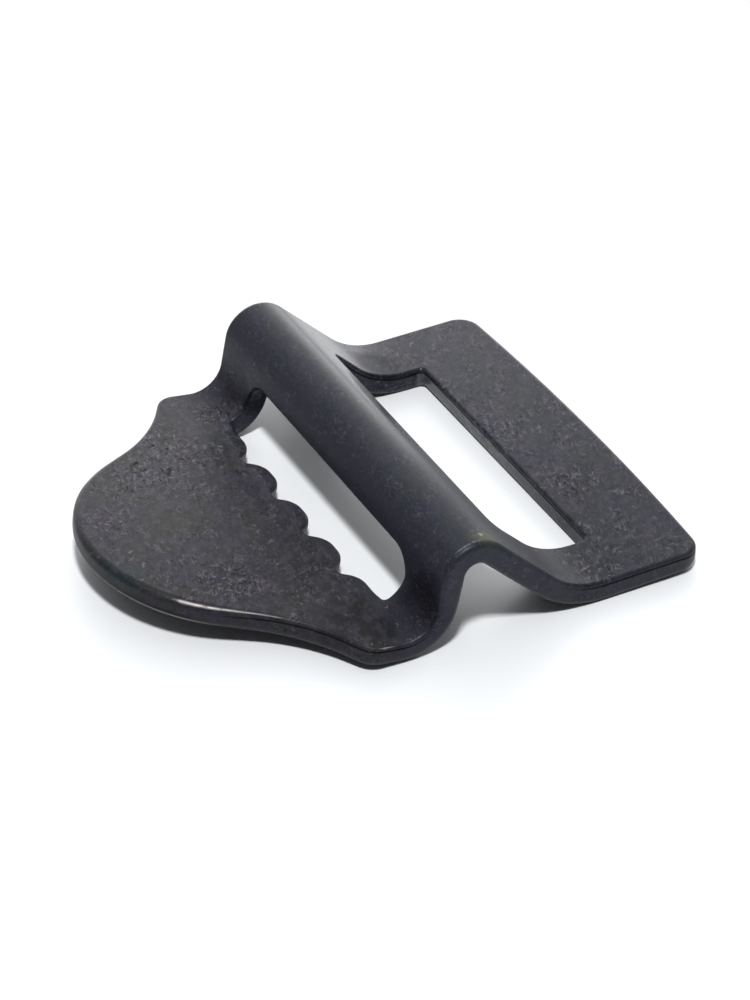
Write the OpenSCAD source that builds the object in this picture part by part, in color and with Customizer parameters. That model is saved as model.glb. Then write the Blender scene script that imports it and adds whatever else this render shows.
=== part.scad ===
// Tri-glide slide for 25 mm webbing: one piece of steel sheet, punched flat and then bent.
// X runs along the webbing, with the thumb tab at -X and the plate at +X. Y runs along the slots.
// Z is up, and the part rests on its two bends at Z = 0, centred on X = 0 and Y = 0.

/* [Sheet] */
// Thickness of the steel sheet
sheet_t = 1.8; // [1.6:0.1:2]
// Width of the whole slide, over both side rails
body_w = 36; // [35:0.5:39]
// Length of both slots, for webbing 25 mm wide
slot_len = 25.6; // [25.6:0.1:26.5]

/* [Crossbar] */
// Height of the crest above the resting plane
bar_h = 8.55; // [8.3:0.05:9.2]
// Radius of the top face over the crest
crest_r = 2.75; // [2.5:0.05:3]
// Slope of the flank on the tab's side, in degrees
tab_flank = 80.5; // [76:0.5:84]
// Slope of the flank on the plate's side, in degrees
plate_flank = 44; // [42:0.5:46]
// Inner radius of the bend between tab and crossbar
tab_bend_r = 2.45; // [2.2:0.05:2.6]
// Inner radius of the bend between crossbar and plate
plate_bend_r = 5.9; // [5.5:0.1:6.2]

/* [Plate] */
// Distance from the crest to the middle of the plate's outer edge
plate_reach = 19.55; // [19:0.05:22]
// Slope of the plate, rising outwards, in degrees
plate_rise = 1.2; // [0:0.1:2]
// Radius of the plate's slightly bowed outer edge
plate_edge_r = 245; // [180:5:400]
// Radius of the plate's two outer corners
plate_corner_r = 1.8; // [1:0.1:3]
// Distance from the crest to the plate slot's outer edge
plate_slot_x = 12.05; // [11.5:0.05:12.5]

/* [Bar edges] */
// Length of straight flank that the crossbar keeps above the tab slot
tab_lip = 1.2; // [0.8:0.1:1.6]
// Radius of the tab slot's two corners in that flank
tab_lip_r = 2; // [1:0.1:2.2]
// Length of straight flank that the crossbar keeps above the plate slot
plate_lip = 3.1; // [2.6:0.1:3.4]
// Radius of the plate slot's two corners in that flank
plate_lip_r = 0.9; // [0.6:0.1:1.5]

/* [Teeth] */
// Number of teeth along the tab slot
tooth_count = 5; // [3:2:5]
// Distance between two teeth
tooth_pitch = 5.26; // [5:0.02:5.4]
// Height of the teeth
tooth_depth = 1.2; // [0.8:0.1:1.4]
// Width of a tooth's flat tip, before its corners are rounded
tooth_tip_w = 2.53; // [2.2:0.01:2.8]
// Width of the flat ground between two teeth, before its corners are rounded
tooth_gap_w = 0.8; // [0.6:0.1:1]
// Distance from the crest to the teeth's tips
tooth_x = 4.8; // [4.6:0.02:5.2]

/* [Thumb tab] */
// Slope of the tab, rising outwards, in degrees
tab_rise = 8.1; // [6:0.1:10]
// Length of the tab from the end of its bend to its tip
tab_len = 16.5; // [15:0.1:19]
// Distance from the end of the bend to the ears' corners
ear_at = 2.5; // [2:0.1:3]
// Radius of the ears
ear_r = 1.8; // [1.2:0.1:2.2]
// Distance from the end of the bend to the neck's corner, behind the ears
neck_at = 5.5; // [5:0.1:6]
// Width of the tab at the neck's corners
neck_w = 26.2; // [25:0.2:27]
// Radius of the neck's hollow
neck_r = 14; // [8:0.5:14]
// Width between the two corners that the tip's round fills
tip_w = 13.6; // [12:0.2:16]

/* [Hidden] */
arc_step = 5;       // degrees between two points of a bend
corner_steps = 6;   // chords in a rounded corner of an outline
slot_corner_r = 0.4;
over = 1;           // how far a cutter runs past what it cuts
tooth_tip_r = 2;
tooth_gap_r = 0.4;

// Centres of the three bends, seen along Y. The flanks are the lines that touch two of them.
crest_c = [0, bar_h - crest_r];
tab_c = let (z = tab_bend_r + sheet_t)
    [-(crest_r + tab_bend_r + (crest_c[1] - z) * cos(tab_flank)) / sin(tab_flank), z];
plate_c = let (z = plate_bend_r + sheet_t)
    [(crest_r + plate_bend_r + (crest_c[1] - z) * cos(plate_flank)) / sin(plate_flank), z];

// Upward normal of a sheet that rises towards +X at angle a.
function normal(a) = [-sin(a), cos(a)];
function along(a) = [cos(a), sin(a)];

// Where the top face leaves a bend: the tab's end, the two ends of the crest, the plate's end.
tab_foot = tab_c - tab_bend_r * normal(-tab_rise);
crest_tab = crest_c + crest_r * normal(tab_flank);
crest_plate = crest_c + crest_r * normal(-plate_flank);
plate_foot = plate_c - plate_bend_r * normal(plate_rise);

// The tab's end wall is square to the tab, so its lower edge reaches furthest.
tab_end_x = tab_foot[0] - tab_len * cos(tab_rise) - sheet_t * sin(tab_rise);
centre_x = (tab_end_x + plate_reach) / 2;

function bend(c, r, a0, a1) = let (n = ceil(abs(a1 - a0) / arc_step))
    [for (i = [0:n]) c + r * normal(a0 + (a1 - a0) * i / n)];

// The sheet's face at depth d below the top face, from beyond the tab's tip to beyond the plate.
function face(d) = concat(
    [tab_foot - d * normal(-tab_rise) - (tab_len + over) * along(-tab_rise)],
    bend(tab_c, -tab_bend_r - d, -tab_rise, tab_flank),
    bend(crest_c, crest_r - d, tab_flank, -plate_flank),
    bend(plate_c, -plate_bend_r - d, -plate_flank, plate_rise),
    [plate_foot - d * normal(plate_rise) + plate_reach * along(plate_rise)]);

function reverse(v) = [for (i = [len(v) - 1:-1:0]) v[i]];
function flip(v) = reverse([for (p = v) [p[0], -p[1], p[2]]]);
function unit(v) = v / norm(v);

// A closed outline from rows of [x, y, corner radius]. A radius of 0 keeps the corner sharp.
function rounded(rows) = let (n = len(rows)) [for (i = [0:n - 1])
    let (
        at = [rows[i][0], rows[i][1]],
        before = rows[(i + n - 1) % n],
        after = rows[(i + 1) % n],
        a = unit([before[0], before[1]] - at),
        b = unit([after[0], after[1]] - at),
        half = acos(max(-1, min(1, a * b))) / 2,
        r = rows[i][2],
        c = at + unit(a + b) * r / sin(half),
        start = at + a * r / tan(half) - c,
        turn = (90 - half) * 2 * (a[0] * b[1] - a[1] * b[0] > 0 ? -1 : 1)
    )
    each r == 0 ? [at] : [for (k = [0:corner_steps])
        let (w = turn * k / corner_steps)
        c + [start[0] * cos(w) - start[1] * sin(w), start[0] * sin(w) + start[1] * cos(w)]]];

// Draws an outline on the plane of the sheet at a point of the section, and cuts it up and down.
module on_sheet(at, slope, up, down) {
    translate([at[0], 0, at[1]]) rotate([0, -slope, 0])
        translate([0, 0, -down]) linear_extrude(up + down) children();
}

module bent_sheet() {
    rotate([90, 0, 0]) linear_extrude(body_w, center = true)
        polygon(concat(face(0), reverse(face(sheet_t))));
}

// The plate's outline is drawn from the crest outwards, and the rails are its sides.
module plate_outline() {
    corner_y = body_w / 2;
    corner_x = plate_reach - plate_edge_r + sqrt(plate_edge_r ^ 2 - corner_y ^ 2);
    steps = 12;
    edge = [for (i = [1:steps - 1]) let (y = corner_y * (2 * i / steps - 1))
        [plate_reach - plate_edge_r + sqrt(plate_edge_r ^ 2 - y ^ 2), y, 0]];
    polygon(rounded(concat(
        [[tab_foot[0] - over, -corner_y, 0], [corner_x, -corner_y, plate_corner_r]],
        edge,
        [[corner_x, corner_y, plate_corner_r], [tab_foot[0] - over, corner_y, 0]])));
}

// Two ears, a neck and a round tip, drawn outwards from the end of the tab's bend.
module tab_outline() {
    side = atan((neck_w - tip_w) / 2 / (tab_len - neck_at));
    tip_r = tip_w / 2 / tan((90 - side) / 2) * 0.999;
    half = [
        [over, body_w / 2, 0],
        [-ear_at, body_w / 2, ear_r],
        [-neck_at, neck_w / 2, neck_r],
        [-tab_len, tip_w / 2, tip_r]];
    polygon(rounded(concat(half, flip(half))));
}

// One side of the tab slot is the row of teeth. The outer teeth run straight on to the slot's ends.
module toothed_outline() {
    tip = -tooth_x;
    ground = -tooth_x - tooth_depth;
    first = -(tooth_count - 1) / 2;
    gaps = [for (i = [0:tooth_count - 2]) let (y = (first + i + 0.5) * tooth_pitch)
        each [
            [tip, y - (tooth_pitch - tooth_tip_w) / 2, tooth_tip_r],
            [ground, y - tooth_gap_w / 2, tooth_gap_r],
            [ground, y + tooth_gap_w / 2, tooth_gap_r],
            [tip, y + (tooth_pitch - tooth_tip_w) / 2, tooth_tip_r]]];
    far = crest_tab[0];
    polygon(rounded(concat(
        [[far, -slot_len / 2, 0], [tip, -slot_len / 2, slot_corner_r]],
        gaps,
        [[tip, slot_len / 2, slot_corner_r], [far, slot_len / 2, 0]])));
}

// A slot's end in a flank, drawn down the flank from the crest, with its two corners rounded.
module flank_outline(lip, r, reach) {
    polygon(rounded([
        [lip, -slot_len / 2, r], [reach, -slot_len / 2, 0],
        [reach, slot_len / 2, 0], [lip, slot_len / 2, r]]));
}

// Punched square to the tab up to where the corners in the flank begin, and from there square to it.
module tab_slot() {
    corner_z = crest_tab[1] - (tab_lip + tab_lip_r) * sin(tab_flank);
    on_sheet([0, 0], 0, corner_z, over) toothed_outline();
    on_sheet(crest_tab, tab_flank - 180, sheet_t + over, over)
        flank_outline(tab_lip, tab_lip_r, crest_tab[1]);
}

// Punched square to the plate from where the bend begins, and up the flank square to the flank.
module plate_slot() {
    takeover = plate_c[0] - plate_bend_r * sin(plate_flank);
    on_sheet([0, 0], 0, bar_h, over)
        polygon(rounded([
            [takeover, -slot_len / 2, 0], [plate_slot_x, -slot_len / 2, slot_corner_r],
            [plate_slot_x, slot_len / 2, slot_corner_r], [takeover, slot_len / 2, 0]]));
    on_sheet(crest_plate, -plate_flank, over, sheet_t + over)
        flank_outline(plate_lip, plate_lip_r, crest_plate[1] + over);
}

module slide_body() {
    color([0.29, 0.28, 0.31])
        translate([-centre_x, 0, 0])
            difference() {
                intersection() {
                    bent_sheet();
                    union() {
                        on_sheet([0, 0], 0, bar_h + over, over) plate_outline();
                        on_sheet(tab_foot, -tab_rise, sheet_t, sheet_t + over) tab_outline();
                    }
                }
                tab_slot();
                plate_slot();
            }
}

slide_body();
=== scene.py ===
# Looks of the tri-glide slide: the bent steel sheet with rounded rims, its black-oxide finish,
# and the plain pale floor, soft light and camera that match the photo.
import math

import bpy
import numpy as np
from mathutils import Matrix, Vector
from mathutils.geometry import delaunay_2d_cdt


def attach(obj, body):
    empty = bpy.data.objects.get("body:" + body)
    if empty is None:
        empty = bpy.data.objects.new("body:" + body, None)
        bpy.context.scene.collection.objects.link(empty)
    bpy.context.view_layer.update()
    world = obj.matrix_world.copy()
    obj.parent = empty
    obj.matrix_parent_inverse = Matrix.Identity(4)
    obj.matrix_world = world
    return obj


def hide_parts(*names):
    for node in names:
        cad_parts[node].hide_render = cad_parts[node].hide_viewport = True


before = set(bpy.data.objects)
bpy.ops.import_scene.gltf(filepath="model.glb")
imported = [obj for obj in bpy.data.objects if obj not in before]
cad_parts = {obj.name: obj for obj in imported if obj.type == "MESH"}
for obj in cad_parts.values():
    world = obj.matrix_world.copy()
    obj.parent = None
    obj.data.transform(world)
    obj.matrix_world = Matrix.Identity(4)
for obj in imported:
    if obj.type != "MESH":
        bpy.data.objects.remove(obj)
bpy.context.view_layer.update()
MM = 0.001

# Driving sizes in millimetres and degrees, as in the CAD source
SHEET_T = 1.8
BODY_W = 36.0
SLOT_LEN = 25.6
BAR_H = 8.55
CREST_R = 2.75
TAB_FLANK = math.radians(80.5)
PLATE_FLANK = math.radians(44.0)
TAB_BEND_R = 2.45
PLATE_BEND_R = 5.9
PLATE_REACH = 19.55
PLATE_RISE = math.radians(1.2)
PLATE_EDGE_R = 245.0
PLATE_CORNER_R = 1.8
PLATE_SLOT_X = 12.05
TAB_LIP = 1.2
TAB_LIP_R = 2.0
PLATE_LIP = 3.1
PLATE_LIP_R = 0.9
SLOT_CORNER_R = 0.4
TOOTH_COUNT = 5
TOOTH_PITCH = 5.26
TOOTH_DEPTH = 1.2
TOOTH_TIP_W = 2.53
TOOTH_GAP_W = 0.8
TOOTH_X = 4.8
TOOTH_TIP_R = 2.0
TOOTH_GAP_R = 0.4
TAB_RISE = math.radians(8.1)
TAB_LEN = 16.5
EAR_AT = 2.5
EAR_R = 1.8
NECK_AT = 5.5
NECK_W = 26.2
NECK_R = 14.0
TIP_W = 13.6

# Rims: tumbling rounds the punched edges, more on the underside, where the punch dragged them down.
# Radii of the upper rims: of most edges, of the tab's tip, of the plate's end and of the crest
RIM_R = 0.28
TIP_RIM_R = 0.58
PLATE_RIM_R = 0.42
CREST_RIM_R = 0.5
# Radii of the lower rims: of the slots, of the tab, of the crest, of the plate and of its end
SLOT_UNDER_R = 0.4
TIP_UNDER_R = 0.75
CREST_UNDER_R = 0.42
PLATE_UNDER_R = 0.6
CORNER_UNDER_R = 0.9
# Depth of the fine groove under the upper rim
GROOVE = 0.07
# Rows down the groove: the step into the steel and the distance down, in parts of its depth, the
# angle of the surface and how dark the shade painted into it is
GROOVE_ROWS = [(0.5, 0.48, -0.7, 0.6), (1.0, 0.96, 0.0, 1.0), (0.6, 1.76, 0.6, 0.7), (0.0, 2.88, 0.0, 0.0)]
GROOVE_END = 3.4
# Rows down the lower rim round the tab's tip: -1 is painted shade where the rim faces down, and 1 is a
# painted highlight, a light line where the rim catches the floor's light
LOWER_ROWS = (0, -1, -1, 1, 1, 0, 0)
# How dark that painted shade is
LOWER_SHADE = 0.9
# How far in from the outer edge its nearness is marked
EDGE_REACH = 1.5
# How much the slots widen towards the underside
SLOT_TAPER = 0.08
TOOTH_TAPER = 0.2
# The teeth stay almost flat between the bent rails: their slope, the y over which that fades out,
# and how far out from the bend it has faded in
TOOTH_SLOPE = math.radians(3.2)
TOOTH_BLEND = (11.2, 12.8)
TOOTH_EASE = 0.5
# Tumbling blurs the shading where a bend begins: over this length to either side, in so many samples
SOFT_BEND = 1.9
SOFT_SAMPLES = 9
# Crown of the plate at its sides
CROWN = math.radians(3)
# Rows in a quarter round of a rim and down a wall, and least steps in a quarter round of an outline
RIM_STEPS = 6
WALL_STEPS = 4
CORNER_STEPS = 6
# How much a slot's edge is worn
SLOT_WEAR = 0.15
# What the mesh says of its points: how far they lie on a worn rim, how dark the shade painted in the
# groove and above the lower rim is, how bright the painted highlight line is, and how near the outer edge is
MARKS = ("rim", "groove", "line", "edge")

# Mesh spacing in millimetres
LOOP_STEP = 0.22
BEND_STEP = 0.28
FLAT_STEP = 0.5


# The section. Along the top face, s is the length of sheet from the crest, positive towards the plate.

def normal(a):
    return np.stack([-np.sin(a), np.cos(a)], -1)


def along(a):
    return np.stack([np.cos(a), np.sin(a)], -1)


CREST_C = np.array([0.0, BAR_H - CREST_R])


def bend_centre(radius, slope, side):
    """Centre of a bend at the foot of a flank, where the flank's line touches it and the crest."""
    z = radius + SHEET_T
    reach = CREST_R + radius + (CREST_C[1] - z) * math.cos(slope)
    return np.array([side * reach / math.sin(slope), z])


TAB_C = bend_centre(TAB_BEND_R, TAB_FLANK, -1)
PLATE_C = bend_centre(PLATE_BEND_R, PLATE_FLANK, 1)
CREST_TAB = CREST_C + CREST_R * normal(TAB_FLANK)
CREST_PLATE = CREST_C + CREST_R * normal(-PLATE_FLANK)
TAB_FLANK_END = TAB_C - TAB_BEND_R * normal(TAB_FLANK)
PLATE_FLANK_END = PLATE_C - PLATE_BEND_R * normal(-PLATE_FLANK)
TAB_FOOT = TAB_C - TAB_BEND_R * normal(-TAB_RISE)
PLATE_FOOT = PLATE_C - PLATE_BEND_R * normal(PLATE_RISE)
TAB_END_X = TAB_FOOT[0] - TAB_LEN * math.cos(TAB_RISE) - SHEET_T * math.sin(TAB_RISE)
CENTRE_X = (TAB_END_X + PLATE_REACH) / 2

S_CREST_TAB = -CREST_R * TAB_FLANK
S_TAB_FLANK = S_CREST_TAB - np.linalg.norm(CREST_TAB - TAB_FLANK_END)
S_TAB_FOOT = S_TAB_FLANK - TAB_BEND_R * (TAB_FLANK + TAB_RISE)
S_CREST_PLATE = CREST_R * PLATE_FLANK
S_PLATE_FLANK = S_CREST_PLATE + np.linalg.norm(CREST_PLATE - PLATE_FLANK_END)
S_PLATE_FOOT = S_PLATE_FLANK + PLATE_BEND_R * (PLATE_FLANK + PLATE_RISE)
# A place in the tab slot past the teeth's tips
S_PAST_TEETH = S_TAB_FOOT + 2.0


def slope_at(s):
    """Angle of the sheet at s, rising towards +X."""
    corners = [S_TAB_FOOT, S_TAB_FLANK, S_CREST_TAB, S_CREST_PLATE, S_PLATE_FLANK, S_PLATE_FOOT]
    angles = [-TAB_RISE, TAB_FLANK, TAB_FLANK, -PLATE_FLANK, -PLATE_FLANK, PLATE_RISE]
    return np.interp(s, corners, angles)


def soft_slope_at(s):
    """The slope as the worn surface shows it, without sudden changes where a bend begins."""
    return np.mean([slope_at(s + step) for step in np.linspace(-SOFT_BEND, SOFT_BEND, SOFT_SAMPLES)], axis=0)


def top_at(s):
    """Point of the top face at s, in the plane of X and Z."""
    s = np.asarray(s, float)[..., None]
    a = slope_at(s[..., 0])
    out = CREST_C + CREST_R * normal(a)
    out = np.where(s < S_CREST_TAB, CREST_TAB + (s - S_CREST_TAB) * along(a), out)
    out = np.where(s < S_TAB_FLANK, TAB_C - TAB_BEND_R * normal(a), out)
    out = np.where(s < S_TAB_FOOT, TAB_FOOT + (s - S_TAB_FOOT) * along(a), out)
    out = np.where(s > S_CREST_PLATE, CREST_PLATE + (s - S_CREST_PLATE) * along(a), out)
    out = np.where(s > S_PLATE_FLANK, PLATE_C - PLATE_BEND_R * normal(a), out)
    return np.where(s > S_PLATE_FOOT, PLATE_FOOT + (s - S_PLATE_FOOT) * along(a), out)


def smooth(x, low, high):
    t = np.clip((x - low) / (high - low), 0, 1)
    return t * t * (3 - 2 * t)


def toothed(flat):
    """1 on the teeth, which the bend between the rails leaves almost flat, and 0 elsewhere."""
    s, y = flat[:, 0], np.abs(flat[:, 1])
    there = (s > S_TAB_FOOT) & (s < S_PAST_TEETH)
    return there * (1 - smooth(y, *TOOTH_BLEND))


def slope_on(flat, slope=slope_at):
    s = flat[:, 0]
    near_foot = smooth(s, S_TAB_FOOT, S_TAB_FOOT + TOOTH_EASE)
    level = -TAB_RISE + (TAB_RISE - TOOTH_SLOPE) * near_foot
    w = toothed(flat)
    return slope(s) * (1 - w) + level * w


def place(flat, depth):
    """Points of the blank (s, y), at a depth below the top face, on the bent sheet."""
    w = toothed(flat)[:, None]
    level = TAB_FOOT + (flat[:, :1] - S_TAB_FOOT) * along(-TOOTH_SLOPE)
    top = top_at(flat[:, 0]) * (1 - w) + level * w
    xz = top - np.asarray(depth)[..., None] * normal(slope_on(flat))
    return np.stack([xz[:, 0] - CENTRE_X, flat[:, 1], xz[:, 1]], -1)


def turned(flat, direction):
    """A direction (ds, dy) of the blank, in space at those points of the bent sheet."""
    t = along(slope_on(flat, soft_slope_at))
    return np.stack([direction[:, 0] * t[:, 0], direction[:, 1], direction[:, 0] * t[:, 1]], -1)


def up_at(flat):
    """The top face's normal. The plate is crowned a little across the slide."""
    crown = CROWN * smooth(flat[:, 0], S_PLATE_FLANK, S_PLATE_FOOT) * flat[:, 1] / (BODY_W / 2)
    n = normal(slope_on(flat, soft_slope_at)) * np.cos(crown)[:, None]
    return np.stack([n[:, 0], np.sin(crown), n[:, 1]], -1)


# Outlines in the blank, as rows of (s, y, corner radius)

def rounded(rows):
    """A closed outline with its corners rounded, in points no further apart than LOOP_STEP."""
    corners = []
    count = len(rows)
    for i, (s, y, r) in enumerate(rows):
        at = np.array([s, y])
        a = np.array(rows[i - 1][:2]) - at
        b = np.array(rows[(i + 1) % count][:2]) - at
        a /= np.linalg.norm(a)
        b /= np.linalg.norm(b)
        if r == 0:
            corners.append([at])
            continue
        half = math.acos(max(-1.0, min(1.0, a @ b))) / 2
        middle = (a + b) / np.linalg.norm(a + b)
        centre = at + middle * r / math.sin(half)
        start = at + a * r / math.tan(half) - centre
        turn = (math.pi - 2 * half) * (-1 if a[0] * b[1] - a[1] * b[0] > 0 else 1)
        steps = max(3, math.ceil(abs(turn) * max(r / LOOP_STEP, CORNER_STEPS / math.pi * 2)))
        corners.append([
            centre + [start[0] * math.cos(w) - start[1] * math.sin(w),
                      start[0] * math.sin(w) + start[1] * math.cos(w)]
            for w in np.linspace(0, turn, steps + 1)])
    ends = [p for corner in corners for p in corner]
    out = []
    for p, q in zip(ends, ends[1:] + ends[:1]):
        steps = max(1, math.ceil(np.linalg.norm(q - p) / LOOP_STEP))
        out += [p + (q - p) * k / steps for k in range(steps)]
    out = np.array(out)
    keep = np.linalg.norm(out - np.roll(out, 1, 0), axis=1) > 1e-4
    return out[keep]


def plate_s(x):
    """The s of a place on the flat plate, x from the crest."""
    return S_PLATE_FOOT + (x - PLATE_FOOT[0]) / math.cos(PLATE_RISE)


def plate_end_s(y):
    """The s of the plate's bowed outer edge at y."""
    return plate_s(PLATE_REACH - PLATE_EDGE_R + math.sqrt(PLATE_EDGE_R ** 2 - y ** 2))


def outer_outline():
    half_w = BODY_W / 2
    steps = 12
    edge_y = [half_w * (2 * i / steps - 1) for i in range(1, steps)]
    edge = [(plate_end_s(y), y, 0) for y in edge_y]
    corner = plate_end_s(half_w)
    side = math.atan((NECK_W - TIP_W) / 2 / (TAB_LEN - NECK_AT))
    tip_r = TIP_W / 2 / math.tan((math.pi / 2 - side) / 2) * 0.999
    half = [
        (S_TAB_FOOT - EAR_AT, half_w, EAR_R),
        (S_TAB_FOOT - NECK_AT, NECK_W / 2, NECK_R),
        (S_TAB_FOOT - TAB_LEN, TIP_W / 2, tip_r)]
    mirrored = [(s, -y, r) for s, y, r in reversed(half)]
    plate = [(corner, -half_w, PLATE_CORNER_R)] + edge + [(corner, half_w, PLATE_CORNER_R)]
    return rounded(plate + half + mirrored)


def plate_slot_outline():
    near, far = S_CREST_PLATE + PLATE_LIP, plate_s(PLATE_SLOT_X)
    end = SLOT_LEN / 2
    return rounded([
        (near, -end, PLATE_LIP_R), (near, end, PLATE_LIP_R),
        (far, end, SLOT_CORNER_R), (far, -end, SLOT_CORNER_R)])


def tab_slot_outline():
    end = SLOT_LEN / 2
    bar = S_CREST_TAB - TAB_LIP
    tip = S_TAB_FLANK - TAB_BEND_R * (TAB_FLANK - math.asin((-TOOTH_X - TAB_C[0]) / TAB_BEND_R))
    ground = tip - TOOTH_DEPTH
    teeth = []
    for i in range(TOOTH_COUNT - 1):
        y = (i + 1 - TOOTH_COUNT / 2) * TOOTH_PITCH
        gap, mouth = TOOTH_GAP_W / 2, (TOOTH_PITCH - TOOTH_TIP_W) / 2
        teeth += [(tip, y - mouth, TOOTH_TIP_R), (ground, y - gap, TOOTH_GAP_R),
                  (ground, y + gap, TOOTH_GAP_R), (tip, y + mouth, TOOTH_TIP_R)]
    return rounded([(bar, -end, TAB_LIP_R), (tip, -end, SLOT_CORNER_R)] + teeth
                   + [(tip, end, SLOT_CORNER_R), (bar, end, TAB_LIP_R)])


def signed_area(loop):
    s, y = loop[:, 0], loop[:, 1]
    return 0.5 * np.sum(s * np.roll(y, -1) - np.roll(s, -1) * y)


def inwards(loop, is_hole):
    """For each point of an outline, the step into the steel that moves both its neighbouring edges by 1."""
    ahead = np.roll(loop, -1, 0) - loop
    ahead /= np.linalg.norm(ahead, axis=1, keepdims=True)
    side = np.stack([-ahead[:, 1], ahead[:, 0]], -1)
    if (signed_area(loop) < 0) != is_hole:
        side = -side
    both = side + np.roll(side, 1, 0)
    return 2 * both / np.sum(both ** 2, 1, keepdims=True)


def inside(points, loop):
    """Even-odd test of points against a closed outline."""
    a, b = loop, np.roll(loop, -1, 0)
    hit = np.zeros(len(points), bool)
    for (s0, y0), (s1, y1) in zip(a, b):
        crosses = (y0 > points[:, 1]) != (y1 > points[:, 1])
        if crosses.any():
            at = s0 + (points[:, 1] - y0) * (s1 - s0) / (y1 - y0 if y1 != y0 else 1)
            hit ^= crosses & (points[:, 0] < at)
    return hit


def face_grid():
    """Points of the blank for the faces' insides, closer together in the bends."""
    start, end = S_TAB_FOOT - TAB_LEN, plate_s(PLATE_REACH)
    stops = [(start, FLAT_STEP), (S_TAB_FOOT, BEND_STEP), (S_PLATE_FOOT, FLAT_STEP), (end, None)]
    s = np.concatenate([
        np.linspace(a, b, max(2, round((b - a) / step)), endpoint=False)
        for (a, step), (b, _) in zip(stops, stops[1:])])
    y = np.linspace(-BODY_W / 2, BODY_W / 2, round(BODY_W / FLAT_STEP) + 1)
    return np.stack(np.meshgrid(s, y), -1).reshape(-1, 2)


def triangles_between(loops):
    """Triangulates the face inside loops[0] and outside the other loops. The loops' points come first."""
    grid = face_grid()
    keep = inside(grid, loops[0])
    for hole in loops[1:]:
        keep &= ~inside(grid, hole)
    grid = grid[keep]
    for loop in loops:
        for part in np.array_split(loop, max(1, len(loop) // 200)):
            near = np.min(np.linalg.norm(grid[:, None] - part[None], axis=2), axis=1)
            grid = grid[near > 0.6 * LOOP_STEP]
    border = np.concatenate(loops)
    points = np.concatenate([border, grid])
    edges, first = [], 0
    for loop in loops:
        count = len(loop)
        edges += [(first + k, first + (k + 1) % count) for k in range(count)]
        first += count
    _, _, faces, origin, _, _ = delaunay_2d_cdt([Vector(p) for p in points], edges, [], 1, 1e-6)
    back = [min(o) for o in origin]
    faces = np.array([[back[k] for k in f] for f in faces])
    middle = points[faces].mean(1)
    keep = inside(middle, loops[0])
    for hole in loops[1:]:
        keep &= ~inside(middle, hole)
    faces = faces[keep]
    p = points[faces]
    turn = np.cross(p[:, 1] - p[:, 0], p[:, 2] - p[:, 0])
    faces[turn < 0] = faces[turn < 0][:, ::-1]
    return points, faces


def along_edge(s, rows):
    """A value at s along the outer edge, from rows of (s, value)."""
    places, values = zip(*rows)
    return np.interp(s, places, values)


def outer_under_r(s):
    """Radius of the rim under the outer edge: largest at the plate's end, smallest over the crest."""
    return along_edge(s, [
        (S_TAB_FOOT, TIP_UNDER_R),
        (S_TAB_FLANK, PLATE_UNDER_R),
        (S_CREST_TAB, CREST_UNDER_R),
        (S_PLATE_FLANK, CREST_UNDER_R),
        (plate_s(16), PLATE_UNDER_R),
        (plate_s(PLATE_REACH), CORNER_UNDER_R)])[:, None]


def outer_rim_r(s):
    """Radius of the rim above the outer edge: wider round the tab's tip, over the crest and at the end."""
    return along_edge(s, [
        (S_TAB_FOOT - 12, TIP_RIM_R),
        (S_TAB_FOOT - NECK_AT, RIM_R),
        (S_TAB_FLANK, RIM_R),
        (-2, CREST_RIM_R),
        (2, CREST_RIM_R),
        (S_PLATE_FLANK, RIM_R),
        (plate_s(17), RIM_R),
        (plate_s(PLATE_REACH), PLATE_RIM_R)])[:, None]


def groove_at(s):
    """How deep the groove and the shade painted into it are: full along the tab's sides and the plate, none
    over the bar and the tip.
    """
    tab = smooth(s, S_TAB_FOOT - 12, S_TAB_FOOT - 8) * smooth(s, S_TAB_FLANK, S_TAB_FOOT)
    return (tab + smooth(s, S_PLATE_FLANK, S_PLATE_FOOT))[:, None]


def wear_at(s):
    """How far the outer rim is worn to bare steel: most along the tab's sides and at its ears."""
    return along_edge(s, [
        (S_TAB_FOOT - TAB_LEN, 0),
        (S_TAB_FOOT - 13, 1),
        (S_TAB_FOOT - 7, 0.9),
        (S_TAB_FOOT - NECK_AT, 0.3),
        (S_TAB_FOOT - 3.5, 0.4),
        (S_TAB_FOOT - 1.5, 1),
        (S_TAB_FOOT, 0.8),
        (S_TAB_FLANK, 0.3),
        (S_CREST_TAB, 0.4),
        (0, 0.4),
        (S_CREST_PLATE, 0.2),
        (plate_s(17), 0.1),
        (plate_s(19), 0.6),
        (99, 0.2)])


def line_at(s):
    """How strong the lower rim's painted highlight line and the painted shade above it are: round the tab's
    tip, and nowhere else.
    """
    return smooth(s, S_TAB_FOOT - 10, S_TAB_FOOT - 14)


def rim_profile(rim_r, under_r, taper, cut):
    """Rows down a wall, from the top face to the underside: step into the steel, depth, angle of the
    surface, how far the row lies on the rim, how dark the shade painted in the groove is, and its value in
    LOWER_ROWS."""
    same = np.ones_like(under_r)
    rows = []
    for k in range(RIM_STEPS + 1):
        w = math.pi / 2 * (1 - k / RIM_STEPS)
        step, depth = rim_r * (1 - math.cos(w)), rim_r * (1 - math.sin(w))
        rows.append((step * same, depth * same, w, math.sin(2 * w), 0, 0))
    for step, down, angle, dark in GROOVE_ROWS:
        depth = (rim_r + GROOVE * down) * same
        rows.append((GROOVE * step * cut, depth, angle * cut, 0, dark * cut[:, 0], 0))
    top = rim_r + GROOVE * GROOVE_END
    wall = SHEET_T - under_r - top
    for k in range(1, WALL_STEPS):
        rows.append((taper * k / WALL_STEPS * same, top + wall * k / WALL_STEPS, 0.0, 0, 0, 0))
    for k, lower in enumerate(LOWER_ROWS):
        w = math.pi / 2 * k / RIM_STEPS
        step = taper + under_r * (1 - math.cos(w))
        rows.append((step, SHEET_T - under_r * (1 - math.sin(w)), -w, 0, 0, lower))
    return rows


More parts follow.
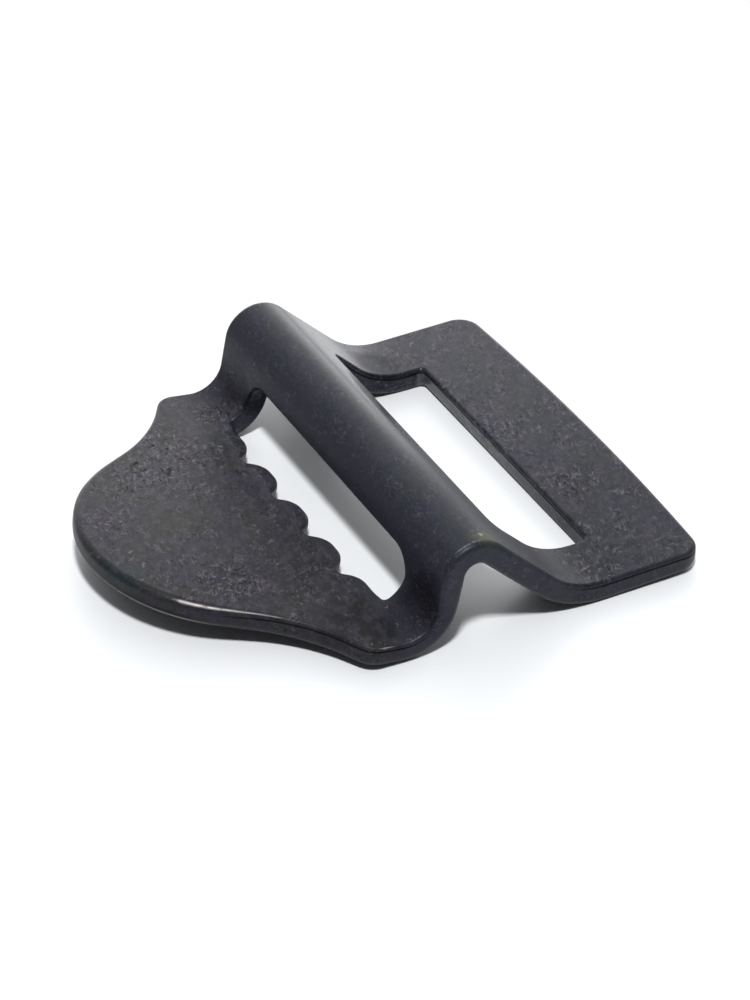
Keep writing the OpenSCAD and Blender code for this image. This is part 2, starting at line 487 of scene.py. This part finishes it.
def edge_nearness(flat, outline):
    """1 at the outer outline, falling to 0 at EDGE_REACH from it."""
    out = []
    for part in np.array_split(flat, len(flat) // 500 + 1):
        out.append(np.min(np.linalg.norm(part[:, None] - outline[None], axis=2), axis=1))
    return np.clip(1 - np.concatenate(out) / EDGE_REACH, 0, 1)


def slide_mesh():
    """The bent sheet as one closed mesh, with its marks and the normals that tumbling leaves."""
    outlines = [outer_outline(), tab_slot_outline(), plate_slot_outline()]
    steps = [inwards(loop, k > 0) for k, loop in enumerate(outlines)]
    slot_r = [np.full((len(loop), 1), SLOT_UNDER_R) for loop in outlines]
    outer_s = outlines[0][:, 0]
    profiles = [
        rim_profile(outer_rim_r(outer_s), outer_under_r(outer_s), 0.0, groove_at(outer_s)),
        rim_profile(RIM_R, slot_r[1], TOOTH_TAPER * np.abs(steps[1][:, :1]), 0 * slot_r[1]),
        rim_profile(RIM_R, slot_r[2], SLOT_TAPER, np.ones_like(slot_r[2]))]
    wear = [wear_at(outer_s), SLOT_WEAR, SLOT_WEAR]
    lit = [line_at(outer_s), 0.0, 0.0]
    points, normals, marks, faces = [], [], [], []

    def add(co, no, rim=0.0, groove=0.0, line=0.0, edge=0.0):
        first = sum(len(p) for p in points)
        points.append(co)
        normals.append(no)
        marks.append(np.stack(np.broadcast_arrays(rim, groove, line, edge, np.zeros(len(co))), 1)[:, :4])
        return first

    def add_face(end, depth, side):
        """Adds the top face or the underside, which begins at one end of the walls' rows."""
        loops = [loop + step * profile[end][0] for loop, step, profile in zip(outlines, steps, profiles)]
        flat, tris = triangles_between(loops)
        near = edge_nearness(flat, outlines[0])
        first = add(place(flat, np.full(len(flat), depth)), side * up_at(flat), edge=near)
        faces.extend(tuple(first + f[::side]) for f in tris)
        return first

    top_first = add_face(0, 0.0, 1)
    low_first = add_face(-1, SHEET_T, -1)
    loop_first = 0
    for loop, step, profile, worn, light in zip(outlines, steps, profiles, wear, lit):
        count = len(loop)
        outer = loop is outlines[0]
        out = -step / np.linalg.norm(step, axis=1, keepdims=True)
        rings = [top_first + loop_first]
        for inset, depth, angle, rim, groove, lower in profile[1:-1]:
            flat = loop + step * inset
            side = np.cos(angle) * turned(flat, out) + np.sin(angle) * up_at(flat)
            # painted shade above the lower rim's light line, and the line itself as a painted highlight
            groove = groove + LOWER_SHADE * light * (lower < 0)
            line = light * (lower > 0)
            rings.append(add(place(flat, depth[:, 0]), side, rim * worn, groove, line, float(outer)))
        rings.append(low_first + loop_first)
        ahead = np.roll(np.arange(count), -1)
        clockwise = (signed_area(loop) < 0) != (not outer)
        for upper, lower in zip(rings, rings[1:]):
            for k in range(count):
                quad = (upper + k, lower + k, lower + ahead[k], upper + ahead[k])
                faces.append(quad[::-1] if clockwise else quad)
        loop_first += count

    mesh = bpy.data.meshes.new("slide")
    corners = [tuple(p * MM) for p in np.concatenate(points)]
    mesh.from_pydata(corners, [], [tuple(int(i) for i in f) for f in faces])
    for name, values in zip(MARKS, np.concatenate(marks).T):
        mark = mesh.attributes.new(name, "FLOAT", "POINT")
        mark.data.foreach_set("value", np.ascontiguousarray(values, np.float32))
    mesh.shade_smooth()
    mesh.normals_split_custom_set_from_vertices([tuple(n) for n in np.concatenate(normals)])
    return mesh


# Material

class Nodes:
    """Short ways to add and link the nodes of a material or of the world."""

    def __init__(self, owner):
        owner.use_nodes = True
        self.tree = owner.node_tree
        self.tree.nodes.clear()

    def add(self, kind, **settings):
        node = self.tree.nodes.new(kind)
        for name, value in settings.items():
            setattr(node, name, value)
        return node

    def link(self, source, node, socket):
        self.tree.links.new(source, node.inputs[socket])

    def feed(self, node, socket, value):
        """Gives an input a socket to read, a colour or a number."""
        if isinstance(value, bpy.types.NodeSocket):
            self.link(value, node, socket)
        else:
            node.inputs[socket].default_value = (*value, 1) if isinstance(value, tuple) else value

    def math(self, operation, *values):
        """One operation over two values, or over each further one in turn."""
        result = values[0]
        for value in values[1:] or (0.0,):
            node = self.add("ShaderNodeMath", operation=operation)
            self.feed(node, 0, result)
            self.feed(node, 1, value)
            result = node.outputs[0]
        return result

    def times(self, *values):
        return self.math("MULTIPLY", *values)

    def plus(self, *values):
        return self.math("ADD", *values)

    def most(self, *values):
        return self.math("MAXIMUM", *values)

    def ramp(self, value, low, high):
        """0 at low, 1 at high, smooth between."""
        node = self.add("ShaderNodeMapRange", interpolation_type="SMOOTHSTEP")
        self.feed(node, "Value", value)
        node.inputs["From Min"].default_value = low
        node.inputs["From Max"].default_value = high
        return node.outputs[0]

    def band(self, value, start, full, fade, end):
        """0 outside of start and end, 1 from full to fade, smooth between."""
        return self.times(self.ramp(value, start, full), self.ramp(value, end, fade))

    def mix(self, factor, a, b):
        node = self.add("ShaderNodeMix", data_type="RGBA")
        self.feed(node, 0, factor)
        self.feed(node, 6, a)
        self.feed(node, 7, b)
        return node.outputs[2]

    def noise(self, where, scale, detail=2.0, roughness=0.5, distortion=0.0):
        node = self.add("ShaderNodeTexNoise")
        self.link(where, node, "Vector")
        node.inputs["Scale"].default_value = scale
        node.inputs["Detail"].default_value = detail
        node.inputs["Roughness"].default_value = roughness
        node.inputs["Distortion"].default_value = distortion
        return node.outputs["Fac"]

    def lines(self, where, scale, width, distortion):
        """Thin crooked lines: where a noise crosses its middle value."""
        value = self.noise(where, scale, 2.0, 0.55, distortion)
        off = self.math("ABSOLUTE", self.math("SUBTRACT", value, 0.5))
        return self.ramp(off, width, width * 0.3)

    def turned_to(self, where, azimuth, scale):
        """Coordinates for marks that run one way: turned to an azimuth and scaled along each axis."""
        turn = self.add("ShaderNodeVectorRotate", rotation_type="Z_AXIS")
        self.link(where, turn, "Vector")
        turn.inputs["Angle"].default_value = -math.radians(azimuth)
        stretch = self.add("ShaderNodeVectorMath", operation="MULTIPLY")
        self.link(turn.outputs[0], stretch, 0)
        stretch.inputs[1].default_value = scale
        return stretch.outputs[0]


# Colours of the skin: two cloudy tints on the tab and two on the bar and the plate, the bar's side
# towards the tab, the painted light on the far end of the plate slot's wall, and the plate's outer rim
TAB_TINTS = ((0.013, 0.010, 0.022), (0.012, 0.013, 0.014))
BAR_TINTS = ((0.014, 0.016, 0.030), (0.014, 0.018, 0.025))
SIDE_TINT = (0.024, 0.026, 0.040)
WALL_LIGHT_TINT = (0.100, 0.100, 0.115)
BROWN_TINT = (0.028, 0.022, 0.022)
# Colours of the marks on it, among them the painted shade in the groove and above the lower rim, and the
# painted highlights of the lower rim's light line and of the crest's rim
MOTTLE_TINT = (0.030, 0.028, 0.038)
STROKE_TINT = (0.20, 0.19, 0.21)
PIT_TINT = (0.006, 0.005, 0.007)
PAINTED_SHADE_TINT = (0.004, 0.004, 0.005)
HIGHLIGHT_LINE_TINT = (0.50, 0.48, 0.45)
STEEL_TINT = (0.34, 0.32, 0.31)
RIM_HIGHLIGHT_TINT = (0.19, 0.20, 0.20)
# Patches on the skin, some the oxide's own tints and some painted shade, reflection or highlight, in
# millimetres: centre, radius, colour, how strong, and how dull
PATCHES = [
    ((-12.9, 1.3, 3.0), 2.8, (0.013, 0.014, 0.009), 0.9, 0.0),
    ((-12.3, 8.3, 3.0), 1.2, (0.014, 0.011, 0.034), 0.8, 0.0),
    ((-12.9, 9.9, 3.0), 1.0, (0.016, 0.021, 0.012), 0.8, 0.0),
    # painted reflection: a dark teal tone along the rolled rim round the tab's tip, where it mirrors the dim
    # room
    ((-20.4, -4.1, 4.1), 1.9, (0.007, 0.018, 0.021), 0.9, 0.0),
    # painted shade: darker, duller patches in the tab's bends and where the tab mirrors the dark bar
    ((-4.2, 10.4, 1.8), 1.8, (0.004, 0.010, 0.010), 0.9, 0.2),
    ((-6.0, -6.0, 2.1), 3.6, (0.010, 0.009, 0.011), 0.8, 0.12),
    ((-1.6, 15.0, 4.0), 2.4, (0.006, 0.006, 0.008), 0.9, 0.85),
    ((-2.0, -16.0, 3.2), 2.9, (0.005, 0.007, 0.009), 0.9, 0.85),
    # painted shade: darker, duller patches on the plate's near side and in its bends, in the tab's near
    # bend, at the bar's near end, where they dim its highlight, and at the tab slot's far end
    ((13.7, -15.2, 1.9), 3.4, (0.005, 0.010, 0.018), 0.8, 0.2),
    ((10.4, -16.0, 2.1), 2.6, (0.006, 0.009, 0.013), 0.8, 0.45),
    ((9.8, 14.8, 2.2), 3.0, (0.016, 0.018, 0.022), 0.7, 0.85),
    ((-5.8, -14.5, 2.1), 2.8, (0.005, 0.006, 0.007), 0.85, 0.35),
    ((15.0, -7.0, 1.9), 4.5, (0.010, 0.012, 0.018), 0.6, 0.12),
    ((6.6, -15.0, 4.3), 3.0, (0.010, 0.012, 0.018), 0.7, 0.3),
    ((4.4, -12.5, 7.0), 3.4, (0.014, 0.016, 0.024), 0.3, 0.22),
    ((-1.3, 12.9, 3.2), 1.3, (0.003, 0.003, 0.004), 0.9, 0.9),
    # dark speckles on the near half of the plate slot's wall
    ((12.9, -9.5, 0.8), 1.8, (0.009, 0.010, 0.011), 0.9, 0.5),
    # painted highlight: a greenish glow and a small glint on the crest's rim at its near end
    ((2.3, -17.0, 8.35), 1.0, (0.055, 0.068, 0.030), 0.8, 0.0),
    ((2.2, -16.8, 8.45), 0.2, (0.300, 0.320, 0.240), 0.8, 0.0),
]
# The marks on the skin are longer one way: its azimuth in degrees, and their width over their length
GRAIN_AT = 62
GRAIN = 0.62
# The strokes run three ways: their azimuths, and how many go to a millimetre across and along them
STROKES_AT = (15, 70, 125)
STROKES_ACROSS = 5.0
STROKES_ALONG = 2.0
# Where the strokes are strong, in millimetres: centre and radius
CROWDED = [
    ((-8.4, 9.5, 2.4), 2.6),
    ((-17.5, 2.3, 3.7), 2.0),
    ((-12.5, -7.0, 3.0), 2.6),
    ((-4.5, 14.5, 1.9), 1.6),
    ((-9.6, 4.8, 2.6), 1.6),
    ((-9.5, 12.8, 2.4), 2.4),
    ((-14.6, 6.4, 3.2), 2.4),
    ((-11.5, 8.0, 2.8), 2.6),
    ((15.0, 1.8, 1.9), 1.8),
    ((16.0, -6.0, 1.9), 2.4),
    ((12.2, -16.5, 1.7), 2.0),
]
# Where they are faint
CALM = [
    ((-4.8, -14.2, 2.0), 2.6),
    ((-8.0, -13.0, 2.3), 1.6),
    ((7.5, -15.5, 3.2), 2.4),
]
# Deep pits: where their patch is, in millimetres, and its radius
PITTED = ((-11.5, 8.5, 2.8), 5.5)
# The painted highlight along the crest's rim at its near end
RIM_HIGHLIGHT_AT = ((0.9, -17.6, 8.4), 1.0)
# Roughness of the tab, of the bar, which the webbing polished, and of the plate
ROUGH = (0.40, 0.17, 0.27)
# How much rougher the near half of the slide is, and the near end of the bar
NEAR_ROUGH = 0.14
BAR_END_ROUGH = 0.16
# Refraction of the oxide, which sets its gloss, and height of the bumps in millimetres
OXIDE_IOR = 1.34
BUMP = 0.03


class Skin(Nodes):
    """The nodes of the slide's material, with its places in millimetres and the mesh's marks."""

    def __init__(self, material):
        super().__init__(material)
        coords = self.add("ShaderNodeTexCoord").outputs["Object"]
        scaled = self.add("ShaderNodeVectorMath", operation="SCALE")
        self.link(coords, scaled, 0)
        scaled.inputs["Scale"].default_value = 1 / MM
        self.mm = scaled.outputs[0]
        axes = self.add("ShaderNodeSeparateXYZ")
        self.link(self.mm, axes, 0)
        self.x, self.y, self.z = axes.outputs
        self.rim, self.groove, self.line, self.edge = [
            self.add("ShaderNodeAttribute", attribute_name=name).outputs["Fac"] for name in MARKS]
        self.grain = self.turned_to(self.mm, GRAIN_AT, (GRAIN, 1, 1))
        self.wobble = self.noise(self.mm, 0.16, 2.0, 0.5, 0.3)
        self.cloud = self.ramp(self.noise(self.mm, 0.35, 3.0, 0.6), 0.42, 0.58)
        self.mottle = self.noise(self.grain, 1.4, 3.0, 0.6)
        # the bar's side towards the tab
        self.side = self.band(self.x, 0.4, -0.9, -3.5, -5.0)

    def patch(self, centre, radius):
        """A soft patch about a place on the slide, with an uneven border."""
        node = self.add("ShaderNodeVectorMath", operation="DISTANCE")
        self.link(self.mm, node, 0)
        node.inputs[1].default_value = centre
        far = self.plus(node.outputs["Value"], self.times(self.wobble, radius * 1.6))
        return self.ramp(far, radius * 2.2, radius * 1.2)

    def strokes(self, azimuth):
        """A noise of short straight strokes that run one way."""
        squeezed = self.turned_to(self.grain, azimuth, (STROKES_ALONG, STROKES_ACROSS, STROKES_ACROSS))
        return self.noise(squeezed, 1.0, 1.5, 0.55, 0.35)


def oxide(n):
    """The oxide's colour, with patches of painted shade, reflection and highlight and painted light on a
    wall, and how dull it is, before the marks.
    """
    # cloudy tints some millimetres across, purple and olive on the tab, bluer on the bar and the plate
    tab, bar = n.mix(n.cloud, *TAB_TINTS), n.mix(n.cloud, *BAR_TINTS)
    tint = n.mix(n.ramp(n.x, -6.0, -1.0), tab, bar)
    dull = 0.0
    for centre, radius, colour, strong, dulled in PATCHES:
        there = n.patch(centre, radius)
        tint = n.mix(n.times(there, strong), tint, colour)
        if dulled:
            dull = n.most(n.times(there, dulled), dull)
    # the bar's side towards the tab wasn't polished
    dull = n.most(dull, n.times(n.side, 0.3))
    tint = n.mix(n.times(n.side, 0.8), tint, SIDE_TINT)
    # painted light: the wall of the plate's slot is painted paler at its far end, where it mirrors the lit
    # floor
    wall = n.times(n.band(n.x, 12.8, 13.2, 13.7, 13.9), n.ramp(n.z, 1.6, 1.3), n.ramp(n.y, -8.0, 2.0))
    tint = n.mix(wall, tint, WALL_LIGHT_TINT)
    # the plate's outer rim has turned brown
    brown = n.times(n.ramp(n.edge, 0.3, 1.0), n.ramp(n.x, 17.5, 20.0), n.cloud)
    return n.mix(brown, tint, BROWN_TINT), dull


def strokes_and_pits(n, knocks):
    """How clearly pale strokes and pits show: a felt of both, strong in some places and faint in others."""
    crowd = n.times(n.ramp(n.noise(n.mm, 0.45, 2.0, 0.55), 0.48, 0.62), 0.6)
    for centre, radius in CROWDED:
        crowd = n.most(n.patch(centre, radius), crowd)
    felt = n.times(n.plus(0.25, n.times(crowd, 0.75)), knocks)
    for centre, radius in CALM:
        felt = n.times(felt, n.math("SUBTRACT", 1.0, n.times(n.patch(centre, radius), 0.75)))
    pale, pit = 0.0, 0.0
    for azimuth in STROKES_AT:
        strokes = n.strokes(azimuth)
        pale = n.most(n.ramp(strokes, 0.58, 0.74), pale)
        pit = n.most(n.ramp(strokes, 0.42, 0.26), pit)
    pale, pit = n.times(pale, felt), n.times(pit, felt)
    # a few long crooked scratches
    scratch = n.lines(n.grain, 0.8, 0.024, 1.2)
    broken = n.noise(n.grain, 1.1, 2.0, 0.6)
    scratch = n.times(scratch, n.ramp(broken, 0.60, 0.68), knocks)
    # deeper pits crowd on the tab's upper half
    deep = n.times(n.ramp(n.noise(n.grain, 2.4, 2.0, 0.6), 0.42, 0.30), crowd, n.patch(*PITTED))
    return n.times(n.most(scratch, pale), 0.5), n.most(n.times(pit, 0.9), deep)


def roughness(n, dull):
    """Rougher on the tab than on the plate, least on the bar, and rougher towards the near end."""
    rough = n.plus(n.times(n.ramp(n.x, -1.0, -5.0), ROUGH[0] - ROUGH[1]), ROUGH[1])
    rough = n.plus(rough, n.times(n.ramp(n.x, 6.0, 10.0), ROUGH[2] - ROUGH[1]))
    rough = n.plus(rough, n.times(n.math("SUBTRACT", n.mottle, 0.5), 0.15))
    rough = n.plus(rough, n.times(n.ramp(n.y, 8.0, -12.0), NEAR_ROUGH))
    near = n.times(n.ramp(n.y, 3.0, -13.0), n.band(n.x, -4.0, 0.0, 7.0, 11.0))
    rough = n.plus(rough, n.times(near, BAR_END_ROUGH))
    return n.most(rough, n.times(dull, 0.55), n.times(n.side, 0.45))


def black_oxide():
    """Blackened steel: a dark satin skin with cloudy tints, pale strokes, pits and worn rims, with painted
    shade, reflections and highlights.
    """
    material = bpy.data.materials.new("black_oxide_steel")
    n = Skin(material)
    tint, dull = oxide(n)

    # the bar and the walls took fewer knocks than the flats
    knocks = n.times(n.ramp(n.z, 5.5, 3.5), n.ramp(n.edge, 1.02, 0.92))
    knocks = n.plus(0.5, n.times(knocks, 0.5))
    scratch, pit = strokes_and_pits(n, knocks)
    tint = n.mix(n.times(n.ramp(n.mottle, 0.40, 0.68), knocks), tint, MOTTLE_TINT)
    tint = n.mix(scratch, tint, STROKE_TINT)
    tint = n.mix(pit, tint, PIT_TINT)

    # painted shade in the groove under the rim and above the lower rim, a painted highlight along the lower
    # rim's light line, and bare steel where the rim is worn
    dark = n.times(n.groove, 0.9)
    tint = n.mix(dark, tint, PAINTED_SHADE_TINT)
    tint = n.mix(n.times(n.line, 0.9), tint, HIGHLIGHT_LINE_TINT)
    worn = n.times(n.ramp(n.rim, 0.82, 0.99), n.ramp(n.noise(n.mm, 0.9, 3.0, 0.65), 0.28, 0.52))
    tint = n.mix(worn, tint, STEEL_TINT)
    # a painted highlight along the top of the crest's rim at its near end
    rim_highlight = n.times(n.band(n.edge, 0.60, 0.67, 0.85, 1.0), n.patch(*RIM_HIGHLIGHT_AT))
    rim_highlight = n.times(rim_highlight, n.ramp(n.noise(n.mm, 2.2, 1.0, 0.5), 0.30, 0.60))
    tint = n.mix(rim_highlight, tint, RIM_HIGHLIGHT_TINT)

    shader = n.add("ShaderNodeBsdfPrincipled")
    n.link(tint, shader, "Base Color")
    shader.inputs["IOR"].default_value = OXIDE_IOR
    bare = n.most(n.times(worn, 0.9), n.times(scratch, 0.5))
    dull = n.most(dull, n.most(pit, dark))
    n.link(n.most(bare, dull), shader, "Metallic")
    n.link(roughness(n, dull), shader, "Roughness")
    bump = n.add("ShaderNodeBump")
    bump.inputs["Strength"].default_value = 0.5
    bump.inputs["Distance"].default_value = BUMP * MM
    n.link(n.math("SUBTRACT", n.mottle, n.times(pit, 0.3)), bump, "Height")
    n.link(bump.outputs[0], shader, "Normal")
    n.link(shader.outputs[0], n.add("ShaderNodeOutputMaterial"), "Surface")
    return material


def make_slide():
    slide = bpy.data.objects.new("slide", slide_mesh())
    bpy.context.scene.collection.objects.link(slide)
    slide.data.materials.append(black_oxide())
    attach(slide, "root")
    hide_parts("slide_body")


# Floor, light and camera

# The key's azimuth and height in degrees, its distance, size and power
KEY_AT = (242, 67)
KEY_DISTANCE = 0.50
KEY_SIZE = 0.055
KEY = 2.12
# The glow on the walls: azimuth, height, strength and how narrow it is
WALLS = [(55, 25, 0.82, 1.0), (76, 12, 1.2, 9.0), (46, 6, 1.35, 26.0)]
# The light of the room away from them
ROOM = 0.07
FLOOR_HALF = 0.45
FLOOR_COLOUR = (0.88, 0.90, 0.92, 1)
FLOOR_ROUGH = 0.3


def make_floor():
    mesh = bpy.data.meshes.new("floor")
    corners = [(x * FLOOR_HALF, y * FLOOR_HALF, 0) for x, y in ((-1, -1), (1, -1), (1, 1), (-1, 1))]
    mesh.from_pydata(corners, [], [(0, 1, 2, 3)])
    floor = bpy.data.objects.new("floor", mesh)
    bpy.context.scene.collection.objects.link(floor)
    material = bpy.data.materials.new("pale_floor")
    material.use_nodes = True
    shader = material.node_tree.nodes["Principled BSDF"]
    shader.inputs["Base Color"].default_value = FLOOR_COLOUR
    shader.inputs["Roughness"].default_value = FLOOR_ROUGH
    mesh.materials.append(material)


def facing(azimuth, height):
    """Direction towards a place on the walls. Azimuth 0 is at +X and grows towards +Y, in degrees."""
    a, h = math.radians(azimuth), math.radians(height)
    return Vector((math.cos(a) * math.cos(h), math.sin(a) * math.cos(h), math.sin(h)))


def make_key():
    """A small square soft light nearly overhead that faces the slide."""
    data = bpy.data.lights.new("key", "AREA")
    data.shape = "RECTANGLE"
    data.size = data.size_y = KEY_SIZE
    data.energy = KEY
    key = bpy.data.objects.new("key", data)
    bpy.context.scene.collection.objects.link(key)
    key.location = facing(*KEY_AT) * KEY_DISTANCE
    key.rotation_euler = (-key.location).to_track_quat("-Z", "Y").to_euler()


def make_room():
    """A soft pale wall behind that fades into a dim room."""
    world = bpy.data.worlds.new("studio")
    bpy.context.scene.world = world
    n = Nodes(world)
    direction = n.add("ShaderNodeTexCoord").outputs["Generated"]
    strength = ROOM
    for azimuth, height, bright, narrow in WALLS:
        towards = n.add("ShaderNodeVectorMath", operation="DOT_PRODUCT")
        n.link(direction, towards, 0)
        towards.inputs[1].default_value = facing(azimuth, height)
        glow = n.math("POWER", n.most(towards.outputs["Value"], 0.0), narrow)
        strength = n.plus(strength, n.times(glow, bright))
    background = n.add("ShaderNodeBackground")
    background.inputs["Color"].default_value = (1.0, 1.0, 1.0, 1)
    n.link(strength, background, "Strength")
    n.link(background.outputs[0], n.add("ShaderNodeOutputWorld"), "Surface")
    bpy.context.scene.view_settings.view_transform = "Standard"


# The photo's camera, in millimetres and degrees: where it aims, how far away it is, and where the
# slide's origin falls in the frame of 750 by 1000 pixels
FOCAL_PX = 3517.3
SCALE_PX = 13.352
AZIMUTH = 27.558
ELEVATION = 35.295
ROLL = 0.278
ORIGIN_PX = (344.02, 516.59)
FRAME_PX = (750, 1000)
SENSOR = 36


def make_camera():
    t, e, r = (math.radians(v) for v in (AZIMUTH, ELEVATION, ROLL))
    ahead = Vector((math.sin(t) * math.cos(e), math.cos(t) * math.cos(e), -math.sin(e)))
    right = Vector((math.cos(t), -math.sin(t), 0))
    up = right.cross(ahead)
    right, up = right * math.cos(r) + up * math.sin(r), up * math.cos(r) - right * math.sin(r)
    distance = FOCAL_PX / SCALE_PX
    aside = (ORIGIN_PX[0] - FRAME_PX[0] / 2) / SCALE_PX
    above = (FRAME_PX[1] / 2 - ORIGIN_PX[1]) / SCALE_PX
    data = bpy.data.cameras.new("camera")
    data.sensor_fit = "VERTICAL"
    data.sensor_height = SENSOR
    data.lens = SENSOR * FOCAL_PX / FRAME_PX[1]
    data.clip_start = 0.01
    camera = bpy.data.objects.new("camera", data)
    bpy.context.scene.collection.objects.link(camera)
    place_at = -(ahead * distance + right * aside + up * above) * MM
    turned_at = Matrix((right, up, -ahead)).transposed().to_4x4()
    camera.matrix_world = Matrix.Translation(place_at) @ turned_at
    bpy.context.scene.camera = camera


make_camera()
make_slide()
make_floor()
make_room()
make_key()
